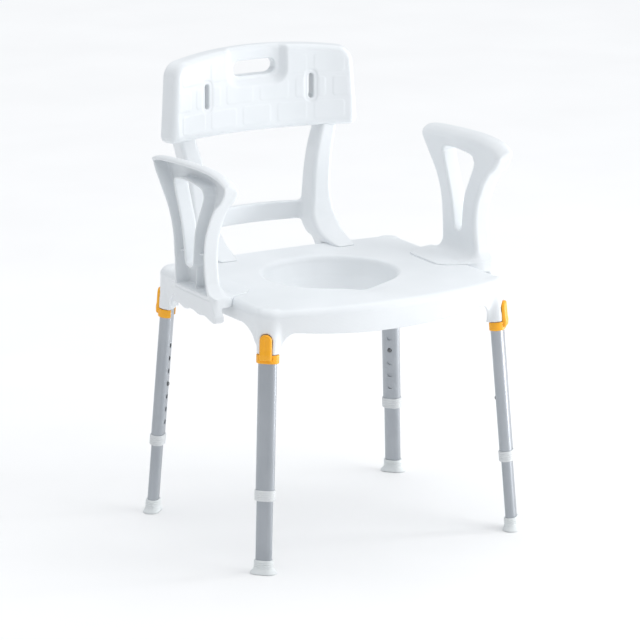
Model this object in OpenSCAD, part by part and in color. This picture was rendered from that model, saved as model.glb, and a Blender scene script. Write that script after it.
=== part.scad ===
// Height-adjustable shower seat with arms, a backrest and an oval seat opening.
// Millimetres. +Z is up, the front of the seat faces -Y, and +X is on the right seen from the front.
// The origin is on the floor under the middle of the whole chair.

/* [Seat] */
// Height of the seat's top face above the floor
seat_top = 479; // [474:1:484]
// Half of the seat's width at its widest
seat_half_w = 257; // [255:1:262]
// How far the middle of the seat's front edge stands ahead of the midpoint of the feet
seat_front = 247; // [242:1:250]
// How far the seat's front edge falls back at its corners
front_bow = 42; // [38:1:46]
// How far the middle of the seat's rear edge stands behind the midpoint of the feet
seat_rear = 219; // [216:1:224]
// How far the seat's rear edge comes forward at its corners
rear_bow = 14; // [8:1:16]
// Wall thickness of the seat moulding
seat_wall = 4; // [3.5:0.5:5]
// Half width of the oval opening at its rim
hole_half_w = 129; // [125:1:132]
// Half length of the oval opening at its rim
hole_half_l = 127; // [123:1:130]
// Distance of the opening's middle behind the midpoint of the feet
hole_y = 5; // [0:1:10]
// How far the funnel wall draws in from the rim to its foot
hole_taper = 12; // [8:1:20]
// Depth of the opening's funnel wall
hole_depth = 82; // [70:1:85]

/* [Legs] */
// Half distance between the left and right feet
foot_x = 265; // [262:0.5:268]
// Half distance between the front and rear feet
foot_y = 216.7; // [214:0.1:219]
// Outward lean of each leg along the diagonal, in degrees
splay = 4.84; // [4.6:0.02:5]
// Tangential width of the upper tube
tube_w = 34.4; // [34:0.1:35]
// Radial thickness of the upper tube
tube_t = 23; // [22.6:0.1:23.4]
// Wall of both tubes
tube_wall = 1.5; // [1.4:0.1:1.6]
// Tangential width of the lower tube
ext_w = 30.4; // [30:0.1:30.6]
// Pitch of the height holes
hole_pitch = 25; // [24:0.5:26]
// Height of the button along the leg at the middle setting
button_at = 253; // [250:1:256]
// Distance that the button travels when it is pressed
button_travel = 5; // [4.8:0.1:5.2]

/* [Armrests] */
// Inner face of the armrest's web, from the middle of the seat
arm_in = 268; // [266:1:270]
// Outer face of the armrest's rim, from the middle of the seat
arm_out = 300; // [298:1:302]
// Top of the arm pad above the floor
arm_top = 726; // [722:1:730]
// Wall of the armrest moulding
arm_wall = 3.5; // [3:0.5:4]

/* [Backrest] */
// Radius of the backrest's front face in plan
back_r = 500; // [480:5:520]
// Distance of the front face's middle behind the midpoint of the feet
back_y = 283; // [280:1:286]
// Depth of the panel from front to back
panel_t = 37; // [34:1:38]
// Half width of the panel along its front face
panel_half_w = 203; // [200:1:205]
// How much narrower each side of the panel is at its top
panel_taper = 12; // [5:1:15]
// Height of the panel's lower edge
panel_low = 692; // [690:1:695]
// Height of the panel's top edge in the middle
panel_top = 856; // [853:1:859]
// Drop of the panel's top edge at its corners
panel_arch = 17; // [12:1:20]
// Radius of the panel's upper corners in its face
panel_corner_high = 24; // [20:1:34]
// Radius of the panel's lower corners in its face
panel_corner_low = 16; // [14:1:20]
// Half length of the hand hole
grip_half_w = 44; // [42:1:46]
// Height of the hand hole
grip_h = 29; // [27:1:31]
// Distance of each slot from the middle of the panel
slot_x = 112.5; // [110:0.5:115]

/* [Hidden] */

$fn = 48;

// Distance from the midpoint of the feet to the middle of the whole chair
origin_y = 36;

// Heights along the leg, measured from the floor on the leg's axis
foot_top = 24.5;
collar_low = 133.5;
collar_h = 20;
ring_low = 384.5;
ring_h = 16;
socket_low = 401;
tube_low = collar_low + 3;
tube_high = 472;
ext_low = 6;
ext_high = 300;
ext_t = tube_t - 2 * tube_wall - 0.9;

// Button, its holes and its spring
button_r = 4;
button_hole_r = 4.6;
button_proud = 3;
flange_r = 5.5;
flange_t = 1.5;
spring_w = 8;
spring_t = 0.6;
hole_steps = 3;

// Clip
ring_wall = 3.4;
ring_gap = 50;
lever_in = tube_t / 2 + 0.9;
lever_out = lever_in + 7.6;
lever_w = 23;
pivot_z = 394;
pivot_x = 16.6;
lever_round = 4;
lever_top = 438;
stud_z = 424;
stud_r = 3.2;
stud_hole_r = 5;

collar_wall = 1.7;

// Four legs: name order is front left, front right, rear left, rear right
LEG_SIDES = [[-1, -1], [1, -1], [-1, 1], [1, 1]];

// A 2D stadium that is w wide along Y and t thick along X
module stadium(w, t) {
    square([t, w - t], center = true);
    for (s = [-1, 1])
        translate([0, s * (w - t) / 2])
            circle(d = t);
}

module stadium_tube(w, t, wall, low, high) {
    translate([0, 0, low])
        linear_extrude(high - low)
            difference() {
                stadium(w, t);
                stadium(w - 2 * wall, t - 2 * wall);
            }
}

module stadium_bar(w, t, low, high) {
    translate([0, 0, low])
        linear_extrude(high - low)
            stadium(w, t);
}

// Puts its children on a leg: +Z runs up the leg's axis, and +X points outward along the diagonal
module on_leg(side) {
    translate([side[0] * foot_x, side[1] * foot_y - origin_y, 0])
        rotate([0, 0, atan2(side[1], side[0])])
            rotate([0, -splay, 0])
                children();
}

// Cylinder along X from x0 to x1 at height z
module cross_pin(r, x0, x1, z) {
    translate([x0, 0, z])
        rotate([0, 90, 0])
            cylinder(r = r, h = x1 - x0);
}

module leg_tube(side) {
    color("silver")
        on_leg(side)
            difference() {
                stadium_tube(tube_w, tube_t, tube_wall, tube_low, tube_high);
                for (k = [-hole_steps : hole_steps])
                    cross_pin(button_hole_r, -tube_t, -tube_t / 4, button_at + k * hole_pitch);
                cross_pin(stud_hole_r, tube_t / 4, tube_t, stud_z);
            }
}

module leg_collar(side) {
    color("whitesmoke")
        on_leg(side)
            difference() {
                union() {
                    stadium_bar(tube_w + 2 * collar_wall, tube_t + 2 * collar_wall,
                        collar_low, collar_low + collar_h);
                    for (k = [0 : 3])
                        stadium_bar(tube_w + 2 * collar_wall + 1, tube_t + 2 * collar_wall + 1,
                            collar_low + 2 + 4.5 * k, collar_low + 4.5 + 4.5 * k);
                }
                stadium_bar(tube_w, tube_t, tube_low, collar_low + collar_h + 1);
                stadium_bar(ext_w + 0.6, ext_t + 0.6, collar_low - 1, tube_low + 1);
            }
}

module leg_extension(side) {
    color("gainsboro")
        on_leg(side)
            difference() {
                stadium_tube(ext_w, ext_t, tube_wall, ext_low, ext_high);
                cross_pin(button_r + 0.3, -tube_t, -ext_t / 4, button_at);
            }
}

module foot(side) {
    color("lightgray")
        difference() {
            union() {
                hull() {
                    foot_sole(side, 50, 31, 0, 3);
                    foot_sole(side, 40, 27, 8, 8.1);
                }
                on_leg(side) {
                    stadium_bar(37, 26, 5, 12);
                    stadium_bar(35, 24.5, 5, foot_top);
                    for (k = [0 : 2])
                        stadium_bar(36.4, 25.8, 13 + 3.6 * k, 14.8 + 3.6 * k);
                }
            }
            on_leg(side)
                stadium_bar(ext_w, ext_t, ext_low, foot_top + 1);
            translate([-500, -500, -50])
                cube([1000, 1000, 50]);
        }
}

// A level slice of the foot, centred under the leg
module foot_sole(side, w, t, low, high) {
    translate([side[0] * foot_x, side[1] * foot_y - origin_y, low])
        rotate([0, 0, atan2(side[1], side[0])])
            linear_extrude(high - low)
                stadium(w, t);
}

module height_button(side) {
    tip = -tube_t / 2 - button_proud;
    inner = -ext_t / 2 + tube_wall;
    color("dimgray")
        on_leg(side)
            union() {
                cross_pin(button_r, tip + 1.5, inner + 0.2, button_at);
                translate([tip + 1.5, 0, button_at])
                    rotate([0, -90, 0])
                        cylinder(r1 = button_r, r2 = button_r - 1.5, h = 1.5);
                cross_pin(flange_r, inner + 0.2, inner + 0.2 + flange_t, button_at);
            }
}

// A folded leaf: one arm behind the button, one against the opposite wall, joined by a round bend
module button_spring(side) {
    arm_x = -ext_t / 2 + tube_wall + 0.2 + flange_t + 0.05;
    wall_x = ext_t / 2 - tube_wall - spring_t - 0.1;
    bend_r = (wall_x - arm_x + spring_t) / 2;
    bend_z = button_at - 30;
    color("slategray")
        on_leg(side)
            translate([0, spring_w / 2, 0])
                rotate([90, 0, 0])
                    linear_extrude(spring_w) {
                        translate([arm_x, bend_z])
                            square([spring_t, 36]);
                        translate([wall_x, bend_z])
                            square([spring_t, 48]);
                        translate([(arm_x + wall_x + spring_t) / 2, bend_z])
                            difference() {
                                circle(r = bend_r);
                                circle(r = bend_r - spring_t);
                                translate([-bend_r, 0])
                                    square([2 * bend_r, bend_r]);
                            }
                    }
}

module clip_ring(side) {
    color("orange")
        on_leg(side)
            difference() {
                stadium_tube(tube_w + 2 * ring_wall, tube_t + 2 * ring_wall, ring_wall - 0.05,
                    ring_low, ring_low + ring_h);
                translate([0, 0, ring_low - 1])
                    linear_extrude(ring_h + 2)
                        polygon([
                            [0, 0],
                            [-40, -40 * tan(ring_gap)],
                            [-40, 40 * tan(ring_gap)]
                        ]);
                translate([pivot_x, lever_w / 2 + 0.4, pivot_z])
                    rotate([90, 0, 0])
                        cylinder(r = lever_round + 0.35, h = lever_w + 0.8);
                translate([lever_in - 0.5, -lever_w / 2 - 0.4, pivot_z])
                    cube([10, lever_w + 0.8, 20]);
            }
}

module clip_lever(side) {
    color("darkorange")
        on_leg(side) {
            intersection() {
                translate([0, lever_w / 2, 0])
                    rotate([90, 0, 0])
                        linear_extrude(lever_w)
                            lever_profile();
                translate([0, 0, 0])
                    rotate([0, 90, 0])
                        linear_extrude(40)
                            lever_face();
            }
            cross_pin(stud_r, tube_t / 2 - tube_wall - 1, lever_in + 1, stud_z);
        }
}

// The lever seen from its edge, in X and Z
module lever_profile() {
    translate([pivot_x, pivot_z])
        circle(r = lever_round);
    translate([lever_in, pivot_z])
        square([lever_out - lever_in, lever_top - pivot_z]);
}

// The lever seen from outside: round at the top, in -Z and Y
module lever_face() {
    translate([-(lever_top - lever_w / 2), 0])
        circle(d = lever_w);
    translate([-(lever_top - lever_w / 2), -lever_w / 2])
        square([lever_top - lever_w / 2 - pivot_z + lever_round + 1, lever_w]);
}

// ---- Seat ----

// Plan outline of the seat, drawn in by an inset on each side
module seat_plan(front_in, side_in, rear_in, corner_r = 20) {
    w = seat_half_w - side_in;
    front_r = (w * w + front_bow * front_bow) / (2 * front_bow);
    rear_r = (w * w + rear_bow * rear_bow) / (2 * rear_bow);
    offset(r = corner_r)
        offset(delta = -corner_r)
            intersection() {
                square([2 * w, 600], center = true);
                translate([0, -seat_front + front_in + front_r])
                    circle(r = front_r, $fn = 180);
                translate([0, seat_rear - rear_in - rear_r])
                    circle(r = rear_r, $fn = 180);
            }
}

module seat_slice(z, front_in, side_in, rear_in) {
    translate([0, -origin_y, z])
        linear_extrude(0.02)
            seat_plan(front_in, side_in, rear_in);
}

// Convex outer form of the seat: rounded top edge, aprons that lean in towards their lower edge
module seat_outer() {
    hull() {
        seat_slice(seat_top, 18, 15, 16);
        seat_slice(seat_top - 1.5, 9, 7, 8);
        seat_slice(seat_top - 5, 3, 2, 3);
        seat_slice(seat_top - 12, 0, 0, 0);
        seat_slice(socket_low, 19, 6, 12);
    }
}

module seat_inner() {
    hull() {
        seat_slice(seat_top - seat_wall, 18 + seat_wall, 15 + seat_wall, 16 + seat_wall);
        seat_slice(seat_top - 12, seat_wall, seat_wall, seat_wall);
        seat_slice(socket_low - 1, 19 + seat_wall, 6 + seat_wall, 12 + seat_wall);
    }
}

// Lower edge of an apron: a shallow belly that turns down at each end along a quarter ellipse
module arch(half_len, mid_z, end_z, round_w, round_h) {
    steps = 12;
    flat = half_len - round_w;
    belly = [for (i = [-steps : steps]) [flat * i / steps, mid_z + (end_z - mid_z) * pow(i / steps, 2)]];
    right = [for (i = [1 : steps])
        [flat + round_w * sin(90 * i / steps), end_z - round_h * (1 - cos(90 * i / steps))]];
    left = [for (i = [steps : -1 : 1])
        [-flat - round_w * sin(90 * i / steps), end_z - round_h * (1 - cos(90 * i / steps))]];
    polygon(concat([[-half_len, 380]], left, belly, right, [[half_len, 380]]));
}

module arch_cuts() {
    translate([0, -origin_y, 0]) {
        translate([0, -150, 0])
            rotate([90, 0, 0])
                linear_extrude(200)
                    arch(217, 424, 436, 22, 34);
        translate([0, 350, 0])
            rotate([90, 0, 0])
                linear_extrude(200)
                    arch(217, 430, 438, 22, 34);
        for (s = [-1, 1])
            translate([s * 250, 0, 0])
                rotate([90, 0, 90])
                    linear_extrude(100, center = true)
                        arch(170, 442, 444, 52, 50);
    }
}

// Post around a leg's upper end, blended into the corner of the seat
module leg_post(side) {
    on_leg(side)
        hull() {
            stadium_bar(tube_w + 2 * ring_wall, tube_t + 2 * ring_wall, socket_low, socket_low + 40);
            stadium_bar(tube_w + 2 * ring_wall - 3, tube_t + 2 * ring_wall - 3, 460, seat_top - 2.5);
        }
}

module oval(half_w, half_l, z, h) {
    translate([0, hole_y - origin_y, z])
        linear_extrude(h)
            scale([1, half_l / half_w])
                circle(r = half_w, $fn = 72);
}

// Tapered oval solid that is drawn in by inset all round
module funnel(inset) {
    hull() {
        oval(hole_half_w - inset, hole_half_l - inset, seat_top - 12, 0.1);
        oval(hole_half_w - hole_taper - inset, hole_half_l - hole_taper - inset, seat_top - hole_depth, 0.1);
    }
}

// Flared rim at the top of the funnel
module funnel_mouth(inset, top) {
    hull() {
        oval(hole_half_w - inset, hole_half_l - inset, seat_top - 12, 0.1);
        oval(hole_half_w + 8 - inset, hole_half_l + 8 - inset, seat_top - top, 0.1);
    }
}

// Pocket under the seat's rear edge that takes the foot of an upright
module back_pocket(s) {
    translate([s * 126 - 21, 168 - origin_y, 424])
        cube([42, 42, 52]);
}

module prong_slots() {
    for (s = [0, 1])
        mirror([s, 0, 0])
            translate([0, 0, -0.8])
                upright_prong(-0.4);
}

module arm_prong_slots(s, extra) {
    translate([0, -origin_y, 0])
        for (y = [-40, 22])
            translate([s * 236 - 4 - extra, y - 10 - extra, 440 - 2 * extra])
                cube([8 + 2 * extra, 20 + 2 * extra, 46]);
}

module seat_shell() {
    color("white")
        difference() {
            union() {
                difference() {
                    union() {
                        seat_outer();
                        for (side = LEG_SIDES)
                            leg_post(side);
                    }
                    difference() {
                        seat_inner();
                        for (side = LEG_SIDES)
                            leg_post(side);
                        for (x = [-186, 186])
                            translate([x - 1.5, -210 - origin_y, 440])
                                cube([3, 400, 60]);
                        for (y = [-150, 190])
                            translate([-240, y - 1.5 - origin_y, 440])
                                cube([480, 3, 60]);
                    }
                    arch_cuts();
                }
                funnel(0);
                funnel_mouth(0, 2);
                for (s = [-1, 1])
                    back_pocket(s);
            }
            funnel(seat_wall);
            funnel_mouth(seat_wall, -1);
            translate([0, 0, -10])
                funnel(seat_wall + 2);
            for (side = LEG_SIDES)
                on_leg(side) {
                    stadium_bar(tube_w + 0.1, tube_t + 0.1, socket_low - 20, tube_high);
                    translate([lever_in - 1.2, -lever_w / 2 - 0.6, socket_low - 10])
                        cube([30, lever_w + 1.2, lever_top + 3 - socket_low + 10]);
                }
            prong_slots();
            for (s = [-1, 1])
                arm_prong_slots(s, 0.4);
        }
}

// ---- Armrests ----

// Side outline of the armrest in Y and Z: rear edge up, pad, nose, front edge down, lobed foot
ARM_REAR = [[48, 452], [49, 500], [51, 540], [57, 585], [74, 623], [101, 656], [124, 683], [134, 702]];
ARM_FRONT = [[-145, 692], [-140, 680], [-127, 665], [-107, 650], [-92, 631], [-80, 610], [-71, 590],
    [-66, 565], [-66, 540], [-69, 518], [-75, 495], [-86, 472], [-104, 452]];

function mix(a, b, t) = a + (b - a) * t;

// Points of a smooth curve through a list, with n points to each span
function spline(p, n) = [
    for (i = [0 : len(p) - 2], k = [0 : n - 1])
        let (
            t = k / n,
            a = p[max(i - 1, 0)],
            b = p[i],
            c = p[i + 1],
            d = p[min(i + 2, len(p) - 1)]
        )
        0.5 * (2 * b + (c - a) * t + (2 * a - 5 * b + 4 * c - d) * t * t + (3 * b - a - 3 * c + d) * t * t * t)
];

function arc_points(cy, cz, r, from, to, n) = [
    for (k = [0 : n]) [cy + r * cos(mix(from, to, k / n)), cz + r * sin(mix(from, to, k / n))]
];

arm_lobes = concat(
    arc_points(-82, 462, 22, 220, 300, 5),
    arc_points(-36, 466, 19, 235, 305, 5),
    arc_points(10, 466, 19, 235, 305, 5)
);

module arm_outline() {
    polygon(concat(
        spline(ARM_REAR, 4),
        [[133, 704], [60, 704], [-100, 708], [-138, 701]],
        spline(ARM_FRONT, 3),
        arm_lobes
    ));
}

// Teardrop opening in Y and Z
module arm_opening(grow = 0) {
    offset(delta = grow)
        offset(r = 7)
            offset(delta = -7)
                polygon(concat(
                    spline([[-7, 527], [5, 531], [9, 540], [12, 560], [22, 602], [44, 655], [50, 671]], 3),
                    spline([[46, 679], [30, 682], [0, 683], [-40, 681], [-56, 677]], 2),
                    spline([[-61, 668], [-57, 655], [-32, 608], [-24, 580], [-19, 540], [-15, 531]], 3)
                ));
}

// Extrudes a Y-Z outline along X from x0 to x1 on side s
module along_x(s, x0, x1) {
    low = min(s * x0, s * x1);
    translate([low, -origin_y, 0])
        rotate([90, 0, 90])
            linear_extrude(abs(x1 - x0))
                children();
}

// Stations of the pad: y, width, underside, crown
ARM_PAD = [[134, 12, 700, 706], [118, 22, 700, 709], [87, 29, 700, 713], [60, 32, 700, 717], [31, 33, 700, 721],
    [-10, 33, 700, 724], [-62, 33, 700, 726], [-104, 33, 700, 722], [-125, 32, 700, 717], [-138, 28, 696, 710],
    [-145, 20, 688, 700]];

// Crowned pad that falls away towards the sitter
module arm_pad(s) {
    for (i = [0 : len(ARM_PAD) - 2])
        hull()
            for (k = [i, i + 1])
                translate([s * (arm_out + 3), ARM_PAD[k][0] - origin_y, 0])
                    pad_slice(s, ARM_PAD[k][1], ARM_PAD[k][2], ARM_PAD[k][3] + arm_top - 726);
}

module pad_slice(s, w, low, high) {
    rise = high - low;
    rotate([90, 0, 0])
        linear_extrude(0.5)
            polygon([
                [0, low], [0, low + 0.5 * rise], [-2 * s, low + 0.75 * rise], [-5 * s, low + 0.93 * rise],
                [-0.3 * w * s, high], [-0.6 * w * s, low + 0.86 * rise], [-0.9 * w * s, low + 0.5 * rise],
                [-w * s, low + 0.3 * rise], [-w * s, low]
            ]);
}

module armrest(s) {
    color("white") {
        difference() {
            along_x(s, arm_in, arm_out)
                arm_outline();
            along_x(s, arm_in + arm_wall, arm_out + 1)
                difference() {
                    offset(delta = -arm_wall)
                        arm_outline();
                    arm_opening(arm_wall);
                    translate([-120, 480])
                        square([200, arm_wall]);
                    translate([-120, 552])
                        square([200, arm_wall]);
                    translate([-20, 440])
                        square([arm_wall, 80]);
                }
            along_x(s, arm_in - 10, arm_out + 10)
                arm_opening();
            along_x(s, arm_in - 10, arm_out - arm_wall)
                intersection() {
                    offset(delta = -arm_wall)
                        arm_outline();
                    translate([-130, 430])
                        square([190, seat_top - 430 + 1]);
                }
            along_x(s, arm_in - 10, arm_out - 18)
                translate([-130, 430])
                    square([190, seat_top - 430 - 2]);
        }
        arm_pad(s);
        arm_tongue(s);
        intersection() {
            arm_prong_slots(s, 0);
            translate([-400, -400, 440])
                cube([800, 800, seat_top - 440 + 3]);
        }
    }
}

// Flange that lies on the seat beside the web
module arm_tongue(s) {
    translate([0, -origin_y, seat_top + 0.3])
        linear_extrude(5)
            polygon([
                [s * (arm_in + 1), -74], [s * 240, -72], [s * 212, -62], [s * 198, -44],
                [s * 192, -16], [s * 192, 24], [s * 202, 52], [s * 232, 74], [s * (arm_in + 1), 84]
            ]);
    hull() {
        translate([0, -origin_y, seat_top + 4])
            linear_extrude(0.5)
                polygon([[s * (arm_in + 1), -72], [s * 246, -66], [s * 246, 66], [s * (arm_in + 1), 80]]);
        translate([s * (arm_in + 1) - 1, -66 - origin_y, seat_top + 30])
            cube([2, 116, 1]);
    }
}

// ---- Backrest ----

// Stations of the right upright: height, inner x, outer x, front y, rear y
UPRIGHT = [
    [seat_top + 1, 104, 149, 160, 256],
    [484, 101, 151, 178, 266],
    [496, 99, 153, 212, 281],
    [512, 99, 154, 236, 293],
    [530, 101, 152, 249, 299],
    [550, 106, 151, 256, 304],
    [602, 113, 153, 263, 308],
    [650, 122, 160, 267, 310],
    [698, 136, 171, 271, 311],
    [800, 146, 180, 272, 302],
    [814, 152, 176, 277, 293]
];

module rounded_slice(x0, x1, y0, y1, z, r = 8) {
    translate([0, -origin_y, z])
        for (x = [x0 + r, x1 - r], y = [y0 + r, y1 - r])
            translate([x, y, 0])
                cylinder(r = r, h = 0.5, $fn = 20);
}

module upright(inset = 0) {
    last = len(UPRIGHT) - 1;
    for (i = [0 : last - 1])
        hull()
            for (k = [i, i + 1])
                let (up = k == 0 ? inset : k == last ? -inset : 0)
                    rounded_slice(UPRIGHT[k][1] + inset, UPRIGHT[k][2] - inset, UPRIGHT[k][3] + inset,
                        UPRIGHT[k][4] - inset, UPRIGHT[k][0] + up, 8 - inset);
}

// Lip of the upright that reaches down behind the seat's rear edge
module upright_lip() {
    hull() {
        rounded_slice(106, 148, 219, 240, 452, 6);
        rounded_slice(104, 149, 219, 256, 481, 6);
    }
}

// Front face of the backrest in plan is a circle about this point
back_axis_y = back_y - back_r;

// Half width of the panel at a height, measured along its front face
function panel_half(z, inset) =
    panel_half_w - inset - panel_taper * max(0, (z - panel_low) / (panel_top - panel_low));

// Height that a rounded corner takes away at a distance from the end
function corner_drop(d, r) = d >= r ? 0 : r - sqrt(r * r - (r - d) * (r - d));

// Curved slab between two radii, with an arched top and rounded corners, drawn in by an inset
module back_slab(r0, r1, inset) {
    steps = 14;
    r_high = max(panel_corner_high - inset, 4);
    r_low = max(panel_corner_low - inset, 4);
    w = panel_half_w - inset;
    ends = [for (k = [5 : -1 : 0]) w - r_high + r_high * cos(90 * k / 5)];
    mid = [for (k = [1 : steps - 1]) (w - r_high) * (1 - 2 * k / steps)];
    xs = concat([for (x = ends) -x], [for (x = mid) -x], [for (k = [5 : -1 : 0]) ends[5 - k]]);
    arch_r = (w * w + panel_arch * panel_arch) / (2 * panel_arch);
    for (i = [0 : len(xs) - 2])
        hull()
            for (k = [i, i + 1])
                let (
                    x = xs[k],
                    low = panel_low + inset + corner_drop(w - abs(x), r_low),
                    high = panel_top - inset - (arch_r - sqrt(arch_r * arch_r - x * x))
                        - corner_drop(w - abs(x), r_high)
                )
                    for (z = [low, high - 0.5], rr = [r0, r1 - 0.5])
                        back_point(x * panel_half(z, inset) / w, rr, z);
}

// A tiny block at an arc length along the front face, a radius and a height
module back_point(x, r, z) {
    translate([0, back_axis_y - origin_y, z])
        rotate([0, 0, -x / back_r * 180 / PI])
            translate([-0.25, r, 0])
                cube(0.5);
}

// Extrudes an X-Z outline along Y through the whole backrest
module through_back() {
    translate([0, 360 - origin_y, 0])
        rotate([90, 0, 0])
            linear_extrude(160)
                children();
}

module round_slot(half_w, h) {
    hull() {
        translate([-half_w + h / 2, 0])
            circle(d = h);
        translate([half_w - h / 2, 0])
            circle(d = h);
    }
}

module crossbar() {
    steps = 6;
    bar_x = 112;
    for (i = [0 : steps - 1])
        hull()
            for (k = [i, i + 1])
                let (x = mix(-bar_x, bar_x, k / steps), bow = 15 * (1 - pow(x / bar_x, 2)))
                    translate([x, 288 + bow - origin_y, 510])
                        cube([0.5, 15, 34 + 0.15 * bow]);
}

module backrest_frame() {
    core = 3.2;
    color("white")
        difference() {
            union() {
                for (s = [0, 1])
                    mirror([s, 0, 0]) {
                        upright();
                        upright_lip();
                        upright_prong(0);
                    }
                crossbar();
            }
            for (s = [0, 1])
                mirror([s, 0, 0]) {
                    upright(core);
                    translate([0, 0, -1])
                        upright_prong(core);
                }
        }
}

// Hollow prong under an upright that stands in the seat's pocket
module upright_prong(inset) {
    translate([126 - 17 + inset, 172 - origin_y + inset, 424])
        cube([34 - 2 * inset, 34 - 2 * inset, 64]);
}

module backrest_panel() {
    skin = 4;
    gap = 0.4;
    color("white")
        difference() {
            back_slab(back_r, back_r + panel_t, 0);
            difference() {
                back_slab(back_r + skin, back_r + panel_t - skin, skin);
                through_back()
                    translate([0, 814])
                        round_slot(grip_half_w + skin, grip_h + 2 * skin);
                for (s = [0, 1])
                    mirror([s, 0, 0])
                        upright(-gap - skin + 1);
            }
            through_back()
                translate([0, 814])
                    round_slot(grip_half_w, grip_h);
            for (s = [-1, 1])
                through_back()
                    translate([s * slot_x, 772])
                        rotate(90)
                            round_slot(24, 10);
            for (s = [0, 1])
                mirror([s, 0, 0])
                    upright(-gap);
        }
}

seat_shell();
leg_tube(LEG_SIDES[0]);  // front_left_leg_tube
leg_collar(LEG_SIDES[0]);  // front_left_leg_collar
leg_extension(LEG_SIDES[0]);  // front_left_leg_extension
foot(LEG_SIDES[0]);  // front_left_foot
height_button(LEG_SIDES[0]);  // front_left_height_button
button_spring(LEG_SIDES[0]);  // front_left_button_spring
clip_ring(LEG_SIDES[0]);  // front_left_clip_ring
clip_lever(LEG_SIDES[0]);  // front_left_clip_lever
leg_tube(LEG_SIDES[1]);  // front_right_leg_tube
leg_collar(LEG_SIDES[1]);  // front_right_leg_collar
leg_extension(LEG_SIDES[1]);  // front_right_leg_extension
foot(LEG_SIDES[1]);  // front_right_foot
height_button(LEG_SIDES[1]);  // front_right_height_button
button_spring(LEG_SIDES[1]);  // front_right_button_spring
clip_ring(LEG_SIDES[1]);  // front_right_clip_ring
clip_lever(LEG_SIDES[1]);  // front_right_clip_lever
leg_tube(LEG_SIDES[2]);  // rear_left_leg_tube
leg_collar(LEG_SIDES[2]);  // rear_left_leg_collar
leg_extension(LEG_SIDES[2]);  // rear_left_leg_extension
foot(LEG_SIDES[2]);  // rear_left_foot
height_button(LEG_SIDES[2]);  // rear_left_height_button
button_spring(LEG_SIDES[2]);  // rear_left_button_spring
clip_ring(LEG_SIDES[2]);  // rear_left_clip_ring
clip_lever(LEG_SIDES[2]);  // rear_left_clip_lever
leg_tube(LEG_SIDES[3]);  // rear_right_leg_tube
leg_collar(LEG_SIDES[3]);  // rear_right_leg_collar
leg_extension(LEG_SIDES[3]);  // rear_right_leg_extension
foot(LEG_SIDES[3]);  // rear_right_foot
height_button(LEG_SIDES[3]);  // rear_right_height_button
button_spring(LEG_SIDES[3]);  // rear_right_button_spring
clip_ring(LEG_SIDES[3]);  // rear_right_clip_ring
clip_lever(LEG_SIDES[3]);  // rear_right_clip_lever
armrest(-1);  // armrest_left
armrest(1);  // armrest_right
backrest_frame();
backrest_panel();
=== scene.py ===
import math
import bpy
import numpy as np
from mathutils import Matrix, Vector


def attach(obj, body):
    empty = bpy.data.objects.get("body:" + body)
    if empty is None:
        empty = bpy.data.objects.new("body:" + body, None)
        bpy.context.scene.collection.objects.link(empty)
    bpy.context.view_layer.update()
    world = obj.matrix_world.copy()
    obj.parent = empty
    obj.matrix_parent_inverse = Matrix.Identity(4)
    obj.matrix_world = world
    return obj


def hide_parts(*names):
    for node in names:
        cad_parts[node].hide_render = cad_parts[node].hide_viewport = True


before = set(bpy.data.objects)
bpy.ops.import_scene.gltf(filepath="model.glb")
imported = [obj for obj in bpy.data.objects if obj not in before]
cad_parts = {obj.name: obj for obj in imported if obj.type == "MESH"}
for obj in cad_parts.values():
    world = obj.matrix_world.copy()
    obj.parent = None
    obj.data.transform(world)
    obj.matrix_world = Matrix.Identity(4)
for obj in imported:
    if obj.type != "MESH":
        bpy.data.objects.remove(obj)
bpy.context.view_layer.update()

# Lengths below are in millimetres, with y measured from the midpoint of the feet.
ORIGIN_Y = 36.0
FOOT_X = 265.0
FOOT_Y = 216.7
SPLAY = math.radians(4.84)
TUBE_W = 34.4
TUBE_T = 23.0
EXT_W = 30.4
EXT_T = 19.1
SEAT_TOP = 479.0
SOCKET_LOW = 401.0
TUBE_HIGH = 472.0
BACK_R = 500.0
BACK_AXIS_Y = 283.0 - BACK_R
LEGS = {
    "front_left": (-1, -1),
    "front_right": (1, -1),
    "rear_left": (-1, 1),
    "rear_right": (1, 1),
}


# ---- Fields: negative inside a solid, in millimetres ----

def smin(a, b, k):
    h = np.clip(0.5 + 0.5 * (b - a) / k, 0.0, 1.0)
    return b + (a - b) * h - k * h * (1.0 - h)


def smax(a, b, k):
    return -smin(-a, -b, k)


def rmax(a, b, r):
    """Intersection with an edge rounded to radius r."""
    return np.minimum(-r, np.maximum(a, b)) + np.hypot(np.maximum(a + r, 0.0), np.maximum(b + r, 0.0))


def stadium(u, v, w, t):
    """Oval bar that is w wide along v and t thick along u."""
    return np.hypot(u, np.maximum(np.abs(v) - (w - t) / 2, 0.0)) - t / 2


def slot(u, v, half, r):
    """Long round-ended slot along u."""
    return np.hypot(np.maximum(np.abs(u) - (half - r), 0.0), v) - r


def rounded(u, v, hu, hv, r):
    qu = np.abs(u) - hu + r
    qv = np.abs(v) - hv + r
    outside = np.hypot(np.maximum(qu, 0.0), np.maximum(qv, 0.0))
    return outside + np.minimum(np.maximum(qu, qv), 0.0) - r


def polygon(u, v, points):
    """Signed distance to a closed outline."""
    u, v = np.broadcast_arrays(u, v)
    best = np.full(u.shape, 1e9)
    odd = np.zeros(u.shape, bool)
    for (ax, ay), (bx, by) in zip(points, points[1:] + points[:1]):
        ex, ey = bx - ax, by - ay
        length = ex * ex + ey * ey
        if length < 1e-9:
            continue
        t = np.clip(((u - ax) * ex + (v - ay) * ey) / length, 0.0, 1.0)
        best = np.minimum(best, (u - ax - ex * t) ** 2 + (v - ay - ey * t) ** 2)
        if ay != by:
            cross = ((ay > v) != (by > v)) & (u < ax + ex * (v - ay) / ey)
            odd ^= cross
    return np.sqrt(best) * np.where(odd, -1.0, 1.0)


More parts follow.
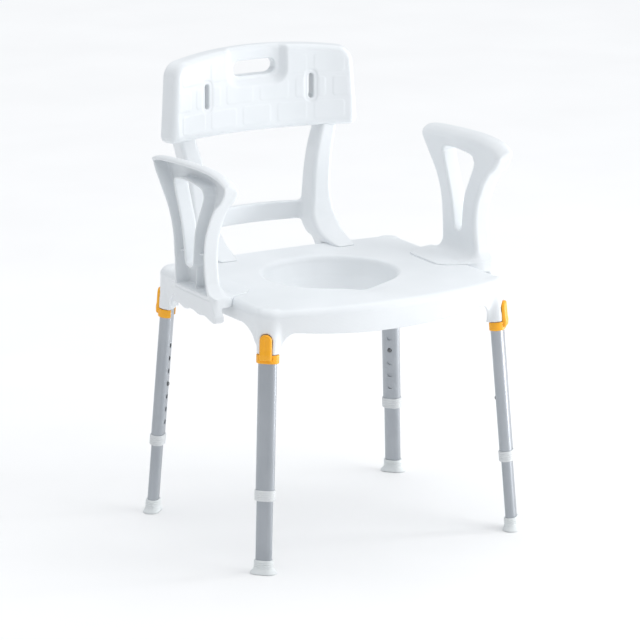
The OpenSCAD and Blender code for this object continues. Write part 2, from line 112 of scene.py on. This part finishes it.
def spline(points, n=6):
    """Smooth curve through a list of points."""
    out = []
    last = len(points) - 1
    for i in range(last):
        a, b = np.array(points[max(i - 1, 0)]), np.array(points[i])
        c, d = np.array(points[i + 1]), np.array(points[min(i + 2, last)])
        for k in range(n):
            t = k / n
            p = 0.5 * (2 * b + (c - a) * t + (2 * a - 5 * b + 4 * c - d) * t * t
                       + (3 * b - a - 3 * c + d) * t ** 3)
            out.append((float(p[0]), float(p[1])))
    out.append(tuple(map(float, points[-1])))
    return out


def curve(stations, values, z):
    """Smooth function of z through stations."""
    zs, vs = np.array(stations, float), np.array(values, float)
    slope = np.gradient(vs, zs)
    i = np.clip(np.searchsorted(zs, z) - 1, 0, len(zs) - 2)
    span = zs[i + 1] - zs[i]
    t = np.clip((z - zs[i]) / span, 0.0, 1.0)
    a, b = vs[i], vs[i + 1]
    ma, mb = slope[i] * span, slope[i + 1] * span
    return ((2 * t ** 3 - 3 * t * t + 1) * a + (t ** 3 - 2 * t * t + t) * ma
            + (3 * t * t - 2 * t ** 3) * b + (t ** 3 - t * t) * mb)


def lattice(low, high, h):
    ax = [np.arange(a, b + h, h) for a, b in zip(low, high)]
    return ax[0][:, None, None], ax[1][None, :, None], ax[2][None, None, :]


# ---- Surfaces ----

def sample(f, p):
    """Trilinear value of the grid f at points p, in cells."""
    top = np.array(f.shape) - 1.001
    p = np.clip(p, 0.0, top)
    i = p.astype(int)
    t = p - i
    total = 0.0
    for dx in (0, 1):
        for dy in (0, 1):
            for dz in (0, 1):
                w = (np.where(dx, t[:, 0], 1 - t[:, 0]) * np.where(dy, t[:, 1], 1 - t[:, 1])
                     * np.where(dz, t[:, 2], 1 - t[:, 2]))
                total = total + w * f[i[:, 0] + dx, i[:, 1] + dy, i[:, 2] + dz]
    return total


def gradient(f, p, e=0.8):
    return np.stack([sample(f, p + d) - sample(f, p - d) for d in np.eye(3) * e], 1) / (2 * e)


def nets(f):
    """Quads and vertices, in cells, on the zero surface of the grid f."""
    n = np.array(f.shape) - 1
    inside = f < 0
    corners = [(i, j, k) for i in (0, 1) for j in (0, 1) for k in (0, 1)]
    count = sum(inside[i:i + n[0], j:j + n[1], k:k + n[2]].astype(np.int8) for i, j, k in corners)
    mixed = (count > 0) & (count < 8)
    cells = np.argwhere(mixed)
    index = np.full(mixed.shape, -1, np.int64)
    index[mixed] = np.arange(len(cells))
    value = {c: f[cells[:, 0] + c[0], cells[:, 1] + c[1], cells[:, 2] + c[2]] for c in corners}
    total = np.zeros((len(cells), 3))
    hits = np.zeros(len(cells))
    for c in corners:
        for axis in range(3):
            if c[axis]:
                continue
            other = tuple(1 if m == axis else c[m] for m in range(3))
            a, b = value[c], value[other]
            cross = (a < 0) != (b < 0)
            t = np.where(cross, a / np.where(cross, a - b, 1.0), 0.0)
            point = np.tile(np.array(c, float), (len(cells), 1))
            point[:, axis] += t
            total += point * cross[:, None]
            hits += cross
    verts = cells + total / hits[:, None]
    quads = []
    for axis in range(3):
        u, v = (axis + 1) % 3, (axis + 2) % 3
        a = np.take(inside, range(0, f.shape[axis] - 1), axis)
        b = np.take(inside, range(1, f.shape[axis]), axis)
        e = np.argwhere(a != b)
        keep = (e[:, u] > 0) & (e[:, v] > 0) & (e[:, u] < n[u]) & (e[:, v] < n[v])
        e = e[keep]
        ring = []
        for du, dv in ((1, 1), (0, 1), (0, 0), (1, 0)):
            c = e.copy()
            c[:, u] -= du
            c[:, v] -= dv
            ring.append(index[c[:, 0], c[:, 1], c[:, 2]])
        q = np.stack(ring, 1)
        out = a[e[:, 0], e[:, 1], e[:, 2]]
        q[~out] = q[~out][:, ::-1]
        quads.append(q)
    return verts, np.concatenate(quads)


def piece(name, field, low, high, h, node, body, material, place=None, flip=False):
    """A moulded piece on the zero surface of a field, standing for one CAD node."""
    x, y, z = lattice(low, high, h)
    f = np.ascontiguousarray(np.broadcast_to(field(x, y, z), (x.size, y.size, z.size)), float)
    verts, quads = nets(f)
    for _ in range(3):
        g = gradient(f, verts)
        step = sample(f, verts)[:, None] * g / np.maximum((g * g).sum(1), 0.05)[:, None]
        verts = verts - np.clip(step, -0.4, 0.4)
    normals = gradient(f, verts)
    normals /= np.maximum(np.linalg.norm(normals, axis=1), 1e-9)[:, None]
    points = verts * h + np.array(low)
    if flip:
        points[:, 0] *= -1
        normals[:, 0] *= -1
        quads = quads[:, ::-1]
    if place is not None:
        m = np.array(place)
        points = points @ m[:3, :3].T + m[:3, 3]
        normals = normals @ m[:3, :3].T
    points[:, 1] -= ORIGIN_Y
    mesh = bpy.data.meshes.new(name)
    mesh.vertices.add(len(points))
    mesh.vertices.foreach_set("co", (points * 0.001).astype(np.float32).ravel())
    mesh.loops.add(quads.size)
    mesh.loops.foreach_set("vertex_index", np.ascontiguousarray(quads, np.int32).ravel())
    mesh.polygons.add(len(quads))
    mesh.polygons.foreach_set("loop_start", np.arange(0, quads.size, 4, dtype=np.int32))
    mesh.update(calc_edges=True)
    mesh.validate()
    mesh.shade_smooth()
    mesh.normals_split_custom_set_from_vertices(normals.astype(np.float32))
    mesh.materials.append(material)
    obj = bpy.data.objects.new(name, mesh)
    bpy.context.scene.collection.objects.link(obj)
    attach(obj, body)
    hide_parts(node)
    return obj


# ---- Materials ----

def shader(name, **sockets):
    """A node material with its Principled shader, ready for texture nodes."""
    m = bpy.data.materials.new(name)
    m.use_nodes = True
    tree = m.node_tree
    bsdf = tree.nodes["Principled BSDF"]
    for key, value in sockets.items():
        bsdf.inputs[key.replace("_", " ")].default_value = value
    return m, tree, bsdf


def add(tree, kind, **values):
    n = tree.nodes.new(kind)
    for key, value in values.items():
        if key in n.inputs:
            n.inputs[key].default_value = value
        else:
            setattr(n, key, value)
    return n


def grain(tree, scale, detail=4.0, stretch=(1.0, 1.0, 1.0)):
    """Noise in object coordinates."""
    coord = add(tree, "ShaderNodeTexCoord")
    mapping = add(tree, "ShaderNodeMapping")
    mapping.inputs["Scale"].default_value = stretch
    noise = add(tree, "ShaderNodeTexNoise", Scale=scale, Detail=detail)
    tree.links.new(coord.outputs["Object"], mapping.inputs["Vector"])
    tree.links.new(mapping.outputs["Vector"], noise.inputs["Vector"])
    return noise


def spread(tree, source, low, high, socket):
    """Maps a noise to a range of a value socket."""
    r = add(tree, "ShaderNodeMapRange")
    r.inputs["From Min"].default_value = 0.3
    r.inputs["From Max"].default_value = 0.7
    r.inputs["To Min"].default_value = low
    r.inputs["To Max"].default_value = high
    tree.links.new(source, r.inputs["Value"])
    tree.links.new(r.outputs["Result"], socket)


def tint(tree, source, dark, light, socket):
    ramp = add(tree, "ShaderNodeValToRGB")
    ramp.color_ramp.elements[0].position = 0.3
    ramp.color_ramp.elements[1].position = 0.7
    ramp.color_ramp.elements[0].color = (*dark, 1.0)
    ramp.color_ramp.elements[1].color = (*light, 1.0)
    tree.links.new(source, ramp.inputs["Fac"])
    tree.links.new(ramp.outputs["Color"], socket)


def bump(tree, source, strength, distance, bsdf):
    b = add(tree, "ShaderNodeBump", Strength=strength, Distance=distance)
    tree.links.new(source, b.inputs["Height"])
    tree.links.new(b.outputs["Normal"], bsdf.inputs["Normal"])


def moulded(name, dark, light, rough, grain_scale, depth, **sockets):
    m, tree, bsdf = shader(name, **sockets)
    wide = grain(tree, 9.0, 3.0)
    fine = grain(tree, grain_scale, 2.0)
    tint(tree, wide.outputs["Fac"], dark, light, bsdf.inputs["Base Color"])
    spread(tree, wide.outputs["Fac"], rough[0], rough[1], bsdf.inputs["Roughness"])
    bump(tree, fine.outputs["Fac"], 0.35, depth, bsdf)
    return m


def drawn_aluminium(name, dark, light, rough):
    """Satin anodised tube with fine drawing lines along its length."""
    m, tree, bsdf = shader(name, Metallic=1.0)
    wide = grain(tree, 14.0, 3.0)
    lines = grain(tree, 900.0, 3.0, (1.0, 1.0, 0.02))
    tint(tree, wide.outputs["Fac"], dark, light, bsdf.inputs["Base Color"])
    spread(tree, lines.outputs["Fac"], rough[0], rough[1], bsdf.inputs["Roughness"])
    bump(tree, lines.outputs["Fac"], 0.12, 0.00006, bsdf)
    return m


WHITE = moulded("white_moulding", (0.80, 0.83, 0.85), (0.84, 0.865, 0.885), (0.34, 0.42),
                900.0, 0.00006, Specular_IOR_Level=0.5)
COLLAR = moulded("collar_moulding", (0.68, 0.70, 0.71), (0.74, 0.76, 0.77), (0.42, 0.52),
                 1200.0, 0.00006)
RUBBER = moulded("foot_rubber", (0.70, 0.73, 0.735), (0.77, 0.80, 0.805), (0.6, 0.72),
                 1500.0, 0.00009)
ORANGE = moulded("orange_moulding", (0.96, 0.41, 0.008), (1.0, 0.46, 0.012), (0.26, 0.36),
                 1100.0, 0.00005)
STEEL = moulded("button_steel", (0.16, 0.165, 0.17), (0.22, 0.225, 0.23), (0.3, 0.42),
                1400.0, 0.00003, Metallic=1.0)
TUBE = drawn_aluminium("tube_aluminium", (0.385, 0.41, 0.44), (0.43, 0.455, 0.485), (0.33, 0.43))


# ---- Seat ----

SEAT_HALF = 257.0
SEAT_FRONT = -247.0
SEAT_REAR = 219.0
FRONT_BOW = 42.0
REAR_BOW = 14.0
SEAT_WALL = 4.2
HOLE_HALF_X = 125
HOLE_HALF_Y = 123
HOLE_Y = 5
HOLE_TAPER = 12
CLIP_TOP = 427.5
POCKET_X = 126
POCKET_Y = 189
ARM_PRONG_X = 236


def arch(half, mid, end, wide, tall):
    """Space under an apron: a shallow belly that turns down at each end."""
    flat = half - wide
    turn = [math.radians(7.5 * i) for i in range(13)]
    belly = [(flat * i / 12, mid + (end - mid) * (i / 12) ** 2) for i in range(-12, 13)]
    right = [(flat + wide * math.sin(a), end - tall * (1 - math.cos(a))) for a in turn[1:]]
    left = [(-x, z) for x, z in right[::-1]]
    return [(-half, 340.0)] + left + belly + right + [(half, 340.0)]


def leg_axes(x, y, z):
    """Coordinates along one leg, with the four legs folded together."""
    dx, dy = np.abs(x) - FOOT_X, np.abs(y) - FOOT_Y
    e, v = (dx + dy) / math.sqrt(2), (dy - dx) / math.sqrt(2)
    return (e * math.cos(SPLAY) + z * math.sin(SPLAY), v, -e * math.sin(SPLAY) + z * math.cos(SPLAY))


def circle_edge(x, y, half, edge, bow, away):
    """Distance past a bowed edge: away is +1 for the rear and -1 for the front."""
    r = (half * half + bow * bow) / (2 * bow)
    return np.hypot(x, y - (edge - away * r)) - r


def seat_plan(x, y, z):
    """Distance past the seat's tapered sides."""
    drop = np.clip((SEAT_TOP - 12 - z) / 66.0, 0.0, 1.0)
    side = np.abs(x) - SEAT_HALF + 6 * drop
    front = circle_edge(x, y, SEAT_HALF, SEAT_FRONT, FRONT_BOW, -1) + 19 * drop
    rear = circle_edge(x, y, SEAT_HALF, SEAT_REAR, REAR_BOW, 1) + 12 * drop
    return rmax(rmax(side, front, 26.0), rear, 26.0)


def arm_prong(x, y, grow):
    """The two tabs of an armrest that stand in the seat, in plan."""
    ends = np.minimum(np.abs(y + 40), np.abs(y - 22)) - 10 - grow
    return np.maximum(np.abs(np.abs(x) - ARM_PRONG_X) - 4 - grow, ends)


def seat_field(x, y, z):
    plan = seat_plan(x, y, z)
    dip = 6.0 * np.exp(-(x / 30.0) ** 2) * np.clip((y + 192) / 58.0, 0.0, 1.0) ** 2
    dip = np.where(y > 0, 0.0, dip)
    top = z - (SEAT_TOP - dip)
    solid = rmax(plan, top, 14.0)
    lx, ly, lz = leg_axes(x, y, z)
    post = rmax(stadium(lx, ly, 41.2, 29.8), top + 0.8, 11.0)
    solid = smin(solid, post, 8.0)
    inset = HOLE_TAPER * np.clip((SEAT_TOP - 12 - z) / 70.0, 0.0, 1.0)
    a, b = HOLE_HALF_X - inset, HOLE_HALF_Y - inset
    hole = (np.hypot(x / a, (y - HOLE_Y) / b) - 1) * np.minimum(a, b)
    solid = rmax(solid, -hole, 8.0)
    cavity = rmax(rmax(plan + SEAT_WALL, top + SEAT_WALL, 10.0), 4 - hole, 6.0)
    across = np.minimum(np.abs(y + 150), np.abs(y - 190)) - 1.6
    ribs = np.minimum(np.abs(np.abs(x) - 186) - 1.6, across)
    ribs = np.maximum(ribs, 440 - z)
    pocket = np.maximum(rounded(np.abs(x) - POCKET_X, y - POCKET_Y, 21.0, 21.0, 3.0), 424 - z)
    kept = np.minimum(np.minimum(post, ribs), pocket)
    shell = smax(solid, -smax(cavity, -kept, 3.0), 2.0)
    side_arch = polygon(y, z, arch(170.0, 442.0, 444.0, 52.0, 50.0))
    front_arch = polygon(x, z, arch(217.0, 424.0, 436.0, 22.0, 34.0))
    rear_arch = polygon(x, z, arch(217.0, 430.0, 438.0, 22.0, 34.0))
    shell = rmax(shell, -np.where(y < 0, front_arch, rear_arch), 1.6)
    shell = rmax(shell, -side_arch, 1.6)
    shell = rmax(shell, SOCKET_LOW - lz, 1.6)
    funnel = rmax(np.abs(hole - 2) - 2, 397 - z, 1.8)
    funnel = np.maximum(funnel, top + 8)
    shell = smin(shell, funnel, 2.0)
    bore = np.maximum(stadium(lx, ly, TUBE_W + 0.3, TUBE_T + 0.3), lz - TUBE_HIGH)
    shell = rmax(shell, -bore, 0.8)
    window = np.hypot(ly, np.maximum(lz - CLIP_TOP, 0.0)) - 11.6
    shell = rmax(shell, -np.maximum(11.2 - lx, window), 0.4)
    socket = rounded(np.abs(x) - POCKET_X, y - POCKET_Y, 17.4, 17.4, 1.0)
    return np.maximum(shell, -np.minimum(socket, arm_prong(x, y, 0.4)))


# ---- Armrests ----

ARM_IN = 269
ARM_OUT = 300.5
ARM_RIDGE = 293
ARM_WALL = 3.6

ARM_REAR = [(48, 452), (49, 500), (51, 540), (57, 585), (74, 623), (101, 656), (124, 683),
            (134, 703)]
ARM_TOP = [(134, 712), (60, 724), (-62, 732), (-130, 722), (-146, 706)]
ARM_FRONT = [(-145, 692), (-140, 680), (-127, 665), (-107, 650), (-92, 631), (-80, 610),
             (-71, 590), (-66, 565), (-66, 540), (-69, 518), (-75, 495), (-86, 472), (-104, 452)]
ARM_FOOT = [(-106, 446), (-98, 441), (-84, 444), (-70, 449), (-58, 450), (-46, 447), (-34, 449),
            (-20, 453), (-6, 453), (6, 448), (18, 448), (34, 455)]
OPENING = [(-7, 527), (5, 531), (9, 540), (12, 560), (22, 602), (44, 655), (50, 671)]
OPENING_TOP = [(46, 679), (30, 682), (0, 683), (-40, 681), (-56, 677)]
OPENING_FRONT = [(-61, 668), (-57, 655), (-32, 608), (-24, 580), (-19, 540), (-15, 531)]
SKIRT = [(290, -92), (262, -88), (250, -80), (238, -72), (238, 74), (269, 84), (290, 84)]
TONGUE = [(269, -74), (240, -72), (212, -62), (198, -44), (192, -16), (192, 24), (202, 52),
          (232, 74), (269, 84)]
CROWN_Y = [-150, -138, -125, -104, -62, -10, 31, 60, 87, 118, 134]
CROWN_Z = [699, 707, 713, 717, 720, 719, 717, 715, 713, 709, 705]


def arm_field(x, y, z):
    outline = polygon(y, z, spline(ARM_REAR) + ARM_TOP + spline(ARM_FRONT) + spline(ARM_FOOT))
    hole = polygon(y, z, spline(OPENING) + spline(OPENING_TOP) + spline(OPENING_FRONT)) + 0.5
    block = rmax(outline, ARM_IN - x, 8.0)
    thick = 2.4 + 0.8 * np.clip((y + 50) / 30.0, 0.0, 1.0)
    tongue = rmax(polygon(x, y, TONGUE) - 1.0, z - SEAT_TOP - thick, 2.2)
    tongue = np.maximum(tongue, SEAT_TOP - 1 - z)
    skirt = np.maximum(polygon(x, y, SKIRT), np.maximum(z - 480, 462 - z))
    block = smin(block, np.minimum(tongue, skirt), 30.0)
    side = x - ARM_OUT - 2.5 * np.clip((z - 694) / 12.0, 0.0, 1.0)
    block = rmax(block, side, 2.0)
    crown = curve(CROWN_Y, CROWN_Z, y)
    top = crown - np.where(x < ARM_RIDGE, 0.026, 0.035) * (x - ARM_RIDGE) ** 2
    edge = 5.0 - 3.2 * np.clip((x - 284) / 10.0, 0.0, 1.0)
    block = rmax(block, (z - top) * 0.9, edge)
    clear = rmax(seat_plan(x, y, z) - 0.2, z - SEAT_TOP + 0.4, 14.0)
    block = np.maximum(block, -clear)
    block = rmax(block, -np.maximum(z - 466, x - 283), 1.2)
    block = rmax(block, -hole, 5.0)
    upright = np.abs(y + 8 + 0.1 * (z - 500)) + np.maximum(z - 526, 0)
    ribs = np.minimum(np.abs(z - 550 + 0.1 * y), upright) - 1.6
    ribs = np.maximum(ribs, x - 287)
    recess = rmax(rmax(outline + ARM_WALL, 4 - hole, 6.0), 272.4 - x, 4.0)
    recess = rmax(recess, z - np.minimum(crown - 8.0, top - 4.2), 2.0)
    recess = np.maximum(np.maximum(recess, 486 - z), -ribs)
    block = smax(block, -recess, 2.0)
    under = np.maximum(np.maximum(outline + ARM_WALL, z - SEAT_TOP + 3), x - 296.5)
    fins = np.maximum(np.abs(y + 30) - 1.5, 283 - x)
    block = smax(block, -np.maximum(under, -fins), 1.4)
    groove = np.maximum(np.abs(z - 480) - 1.2, 299.4 - x)
    block = smax(block, -groove, 1.2)
    tabs = np.maximum(arm_prong(x, y, 0.0), np.maximum(440 - z, z - 482))
    return np.minimum(block, tabs)


# ---- Backrest ----

PANEL_HALF = 203
PANEL_TAPER = 12
PANEL_LOW = 692
PANEL_TOP = 856
PANEL_ARCH = 17.0
PANEL_T = 37
GRIP_Z = 814
STRAP_S = 112.5
STRAP_Z = 772

UP_Z = [481, 486, 496, 512, 530, 550, 602, 650, 698, 760, 802, 814]
UP_IN = [104, 101, 99, 99, 101, 106, 113, 122, 136, 143, 147, 152]
UP_OUT = [149, 151, 153, 154, 152, 151, 153, 160, 171, 177, 180, 176]
UP_FRONT = [160, 181, 212, 236, 249, 256, 263, 267, 271, 272, 272, 277]
UP_REAR = [256, 268, 281, 293, 299, 304, 308, 310, 311, 308, 302, 293]


def upright_field(x, y, z):
    ax = np.abs(x)
    zz = np.clip(z, 481.0, 814.0)
    low, high = curve(UP_Z, UP_IN, zz), curve(UP_Z, UP_OUT, zz)
    front, rear = curve(UP_Z, UP_FRONT, zz), curve(UP_Z, UP_REAR, zz)
    lean_f = 1 / np.sqrt(1 + ((curve(UP_Z, UP_FRONT, zz + 1) - front)) ** 2)
    lean_r = 1 / np.sqrt(1 + ((curve(UP_Z, UP_REAR, zz + 1) - rear)) ** 2)
    wall = np.maximum(low - ax, ax - high)
    d = rmax(rmax(wall, (front - y) * lean_f, 8.0), (y - rear) * lean_r, 6.0)
    return rmax(rmax(d, z - 815, 5.0), 478.6 - z, 0.3)


def frame_field(x, y, z):
    ax = np.abs(x)
    d = upright_field(x, y, z)
    reach = 238 + 18 * np.clip((z - 452) / 29.0, 0.0, 1.0)
    lip = rounded(ax - 126.5, y - (219 + reach) / 2, 22.0, 0.5 * (reach - 219), 6.0)
    lip = rmax(lip, 452 - z, 4.0)
    d = smin(d, np.maximum(lip, z - 488), 4.0)
    bow = 15 * (1 - (x / 112.0) ** 2)
    tall = 17 + 0.075 * bow
    bar = rmax(np.abs(y - 295.5 - bow) - 7.5, np.abs(z - 510 - tall) - tall, 4.0)
    bar = np.maximum(bar, ax - 118)
    d = smin(d, bar, 9.0)
    prong = rounded(ax - POCKET_X, y - POCKET_Y, 17.0, 17.0, 1.5)
    prong = np.maximum(prong, np.maximum(424 - z, z - 484))
    return np.minimum(d, prong)


def panel_field(x, y, z):
    radius = np.hypot(x, y - BACK_AXIS_Y)
    s = BACK_R * np.arctan2(x, y - BACK_AXIS_Y)
    arch_r = (PANEL_HALF ** 2 + PANEL_ARCH ** 2) / (2 * PANEL_ARCH)
    crown = PANEL_TOP - (arch_r - np.sqrt(np.maximum(arch_r ** 2 - s * s, 1.0)))
    rise = np.clip((z - PANEL_LOW) / (PANEL_TOP - PANEL_LOW), 0.0, 1.0)
    side = np.abs(s) - (PANEL_HALF - PANEL_TAPER * rise)
    face = rmax(rmax(side, z - crown, 24.0), PANEL_LOW - z, 16.0)
    inset = np.maximum(-face, 0.0)
    tiles = np.full(np.broadcast(s, z).shape, 1e3)
    for zc, hz, shift in ((725, 19, 0.0), (770, 20, 37.0), (816, 19, 0.0)):
        u = (s - shift + 37.0) % 74.0 - 37.0
        tiles = np.minimum(tiles, rounded(u, z - zc, 31.0, hz, 7.0))
    grip = slot(s, z - GRIP_Z, 44.0, 14.5)
    straps = slot(z - STRAP_Z, np.abs(s) - STRAP_S, 24.0, 5.0)
    tile = np.clip(-tiles / 3.0, 0.0, 1.0) * np.clip((inset - 9) / 6.0, 0.0, 1.0)
    tile = tile * np.clip((straps - 8.5) / 4.0, 0.0, 1.0) * np.clip((grip - 16) / 4.0, 0.0, 1.0)
    tile = 0.42 * tile * tile * (3 - 2 * tile)
    pan = 1.2 * np.clip((8.5 - straps) / 2.5, 0.0, 1.0)
    scoop = np.clip(1 - np.maximum(rounded(s, z - 880, 50.0, 84.0, 12.0), 0.0) / 17.0, 0.0, 1.0)
    scoop = 11.0 * scoop * scoop * (3 - 2 * scoop)
    edge = 11 + 4 * np.clip((745 - z) / 40.0, 0.0, 1.0)
    front = BACK_R - tile + pan + scoop - radius
    slab = rmax(rmax(face, front, edge), radius - BACK_R - PANEL_T, 7.0)
    slab = rmax(slab, -grip, 4.0)
    slab = rmax(slab, -straps, 1.4)
    return rmax(slab, 0.7 - upright_field(x, y, z), 1.0)


# ---- Clips, collars, feet and buttons, along one leg ----

RING_Z = 392.5
COLLAR_Z = 143.5
BUTTON_Z = 253

def ring_field(x, y, z):
    d = stadium(x, y, TUBE_W, TUBE_T)
    ring = rmax(np.abs(d - 2.0) - 1.8, np.abs(z - RING_Z) - 8, 1.6)
    wedge = np.abs(y) * math.cos(math.radians(50)) + x * math.sin(math.radians(50))
    seat = np.maximum(np.hypot(x - 16.6, z - 394) - 4.3, np.abs(y) - 11.9)
    return rmax(rmax(ring, -wedge, 1.5), -seat, 0.4)


def lever_field(x, y, z):
    shape = np.maximum(np.hypot(y, np.maximum(z - 426.5, 0.0)) - 11.5, 390 - z)
    crown = 20.2 - 0.011 * y * y + 0.9 * np.exp(-((z - 401) / 6.0) ** 2)
    ridge = 0.7 * np.exp(-(np.abs(y) / 2.2) ** 2) * np.clip((432 - z) / 6.0, 0.0, 1.0)
    tab = rmax(shape, x - crown + ridge, 3.6)
    tab = rmax(tab, 12.6 - x, 1.4)
    stud = np.maximum(np.hypot(y, z - 424) - 3.2, np.maximum(9 - x, x - 14))
    return np.minimum(tab, stud)


def collar_field(x, y, z):
    d = stadium(x, y, TUBE_W, TUBE_T)
    ribs = 0.45 * np.cos((z - COLLAR_Z) * 2 * math.pi / 3.9)
    body = rmax(d - 1.9 - ribs * (np.abs(z - COLLAR_Z) < 8.4), np.abs(z - COLLAR_Z) - 10, 1.3)
    bore = np.where(z > 136.6, d - 0.02, stadium(x, y, EXT_W + 0.6, EXT_T + 0.6))
    return np.maximum(body, -bore)


def foot_field(x, y, z):
    lx, ly, lz = leg_axes(x, y, z)
    flare = np.exp(-(z / 6.2) ** 2)
    ribs = 0.7 * np.cos((lz - 18.0) * 2 * math.pi / 3.7) * (np.abs(lz - 16.2) < 5.6)
    wide, thick = 35.2 + 15.0 * flare, 24.8 + 6.4 * flare
    d = stadium(lx, ly, wide, thick) - ribs
    d = rmax(rmax(d, lz - 24.6, 1.4), -z, 1.0)
    inner = np.maximum(stadium(lx, ly, EXT_W - 0.1, EXT_T - 0.1), 6 - lz)
    return np.maximum(d, -inner)


def button_field(x, y, z):
    d = np.hypot(y, z - BUTTON_Z)
    pin = rmax(d - 4, -14.5 - x, 2.6)
    flange = np.maximum(d - 5.5, np.abs(x + 7.1) - 0.75)
    return np.minimum(np.maximum(pin, x + 7), flange)


def leg_matrix(side):
    """Places coordinates along a leg in the measured frame."""
    base = Matrix.Translation((side[0] * FOOT_X, side[1] * FOOT_Y, 0.0))
    turn = Matrix.Rotation(math.atan2(side[1], side[0]), 4, "Z")
    return base @ turn @ Matrix.Rotation(-SPLAY, 4, "Y")


COARSE = 1.0

piece("seat_moulding", seat_field, (-266, -256, 394), (266, 228, 484), 2.0 * COARSE,
      "seat_shell", "chair", WHITE)
for side_name, mirrored in (("right", False), ("left", True)):
    piece("armrest_moulding_" + side_name, arm_field, (186, -154, 436), (310, 142, 732), 1.5 * COARSE,
          "armrest_" + side_name, "armrest_" + side_name + "_body", WHITE,
          flip=mirrored)
piece("backrest_uprights", frame_field, (-186, 154, 420), (186, 318, 820), 1.8 * COARSE,
      "backrest_frame", "backrest", WHITE)
piece("backrest_shell", panel_field, (-216, 228, 686), (216, 326, 862), 1.6 * COARSE,
      "backrest_panel", "backrest", WHITE)
for leg, side in LEGS.items():
    m = leg_matrix(side)
    piece(leg + "_ring", ring_field, (-18, -24, 382), (18, 24, 403), 0.8 * COARSE,
          leg + "_clip_ring", "chair", ORANGE, m)
    piece(leg + "_lever", lever_field, (7, -14, 386), (24, 14, 441), 0.8 * COARSE,
          leg + "_clip_lever", leg + "_lever", ORANGE, m)
    piece(leg + "_guide", collar_field, (-16, -22, 131), (16, 22, 156), 0.6 * COARSE,
          leg + "_leg_collar", "chair", COLLAR, m)
    piece(leg + "_pin", button_field, (-17, -7, 246), (-4, 7, 260), 0.5 * COARSE,
          leg + "_height_button", leg + "_button", STEEL, m)
    cx, cy = side[0] * FOOT_X, side[1] * FOOT_Y
    piece(leg + "_ferrule", foot_field, (cx - 26, cy - 26, -1), (cx + 26, cy + 26, 28), 0.8 * COARSE,
          leg + "_foot", leg + "_leg", RUBBER)

for name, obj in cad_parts.items():
    if name.endswith(("leg_tube", "leg_extension")):
        obj.data.materials.clear()
        obj.data.materials.append(TUBE)
    elif name.endswith("button_spring"):
        obj.data.materials.clear()
        obj.data.materials.append(STEEL)


# ---- Studio ----

def plain_floor():
    mesh = bpy.data.meshes.new("studio_floor")
    half = 150.0
    corners = [(-half, -half, 0), (half, -half, 0), (half, half, 0), (-half, half, 0)]
    mesh.from_pydata(corners, [], [(0, 1, 2, 3)])
    m, tree, bsdf = shader("studio_floor", Specular_IOR_Level=0.1)
    wide = grain(tree, 3.0, 2.0)
    tint(tree, wide.outputs["Fac"], (0.93, 0.93, 0.93), (0.95, 0.95, 0.95), bsdf.inputs["Base Color"])
    spread(tree, wide.outputs["Fac"], 0.85, 0.95, bsdf.inputs["Roughness"])
    mesh.materials.append(m)
    obj = bpy.data.objects.new("studio_floor", mesh)
    obj.location.z = -0.0005
    bpy.context.scene.collection.objects.link(obj)


def softbox(name, place, target, size, watts, colour=(1.0, 1.0, 1.0)):
    light = bpy.data.lights.new(name, "AREA")
    light.shape = "RECTANGLE"
    light.size, light.size_y = size
    light.energy = watts
    light.color = colour
    obj = bpy.data.objects.new(name, light)
    obj.location = place
    obj.rotation_euler = (Vector(target) - Vector(place)).to_track_quat("-Z", "Y").to_euler()
    bpy.context.scene.collection.objects.link(obj)


def sun(name, toward, strength, spread_deg):
    light = bpy.data.lights.new(name, "SUN")
    light.energy = strength
    light.angle = math.radians(spread_deg)
    obj = bpy.data.objects.new(name, light)
    obj.rotation_euler = Vector(toward).to_track_quat("Z", "Y").to_euler()
    bpy.context.scene.collection.objects.link(obj)


plain_floor()
sun("sky_light", (0.1, 0.1, 1.0), 1.66, 100)
softbox("key_light", (2.6, -3.0, 2.2), (0, 0, 0.5), (2.2, 2.2), 42)
softbox("side_light", (2.5, -0.95, 0.4), (0, 0, 0.3), (0.45, 0.8), 26)
world = bpy.data.worlds.new("studio")
world.use_nodes = True
world.node_tree.nodes["Background"].inputs["Color"].default_value = (0.93, 0.96, 1.0, 1.0)
world.node_tree.nodes["Background"].inputs["Strength"].default_value = 0.50
bpy.context.scene.world = world
bpy.context.scene.view_settings.view_transform = "Standard"

camera = bpy.data.cameras.new("photo_camera")
camera.sensor_width = 36.0
camera.lens = 222.9
camera.clip_start = 0.5
camera.clip_end = 300.0
view = bpy.data.objects.new("photo_camera", camera)
yaw, pitch = math.radians(29.76), math.radians(14.63)
level = math.cos(pitch)
forward = Vector((math.sin(yaw) * level, math.cos(yaw) * level, -math.sin(pitch)))
view.location = (-3.547, -6.162 - 0.001 * ORIGIN_Y, 2.243)
view.rotation_euler = forward.to_track_quat("-Z", "Y").to_euler()
bpy.context.scene.collection.objects.link(view)
bpy.context.scene.camera = view
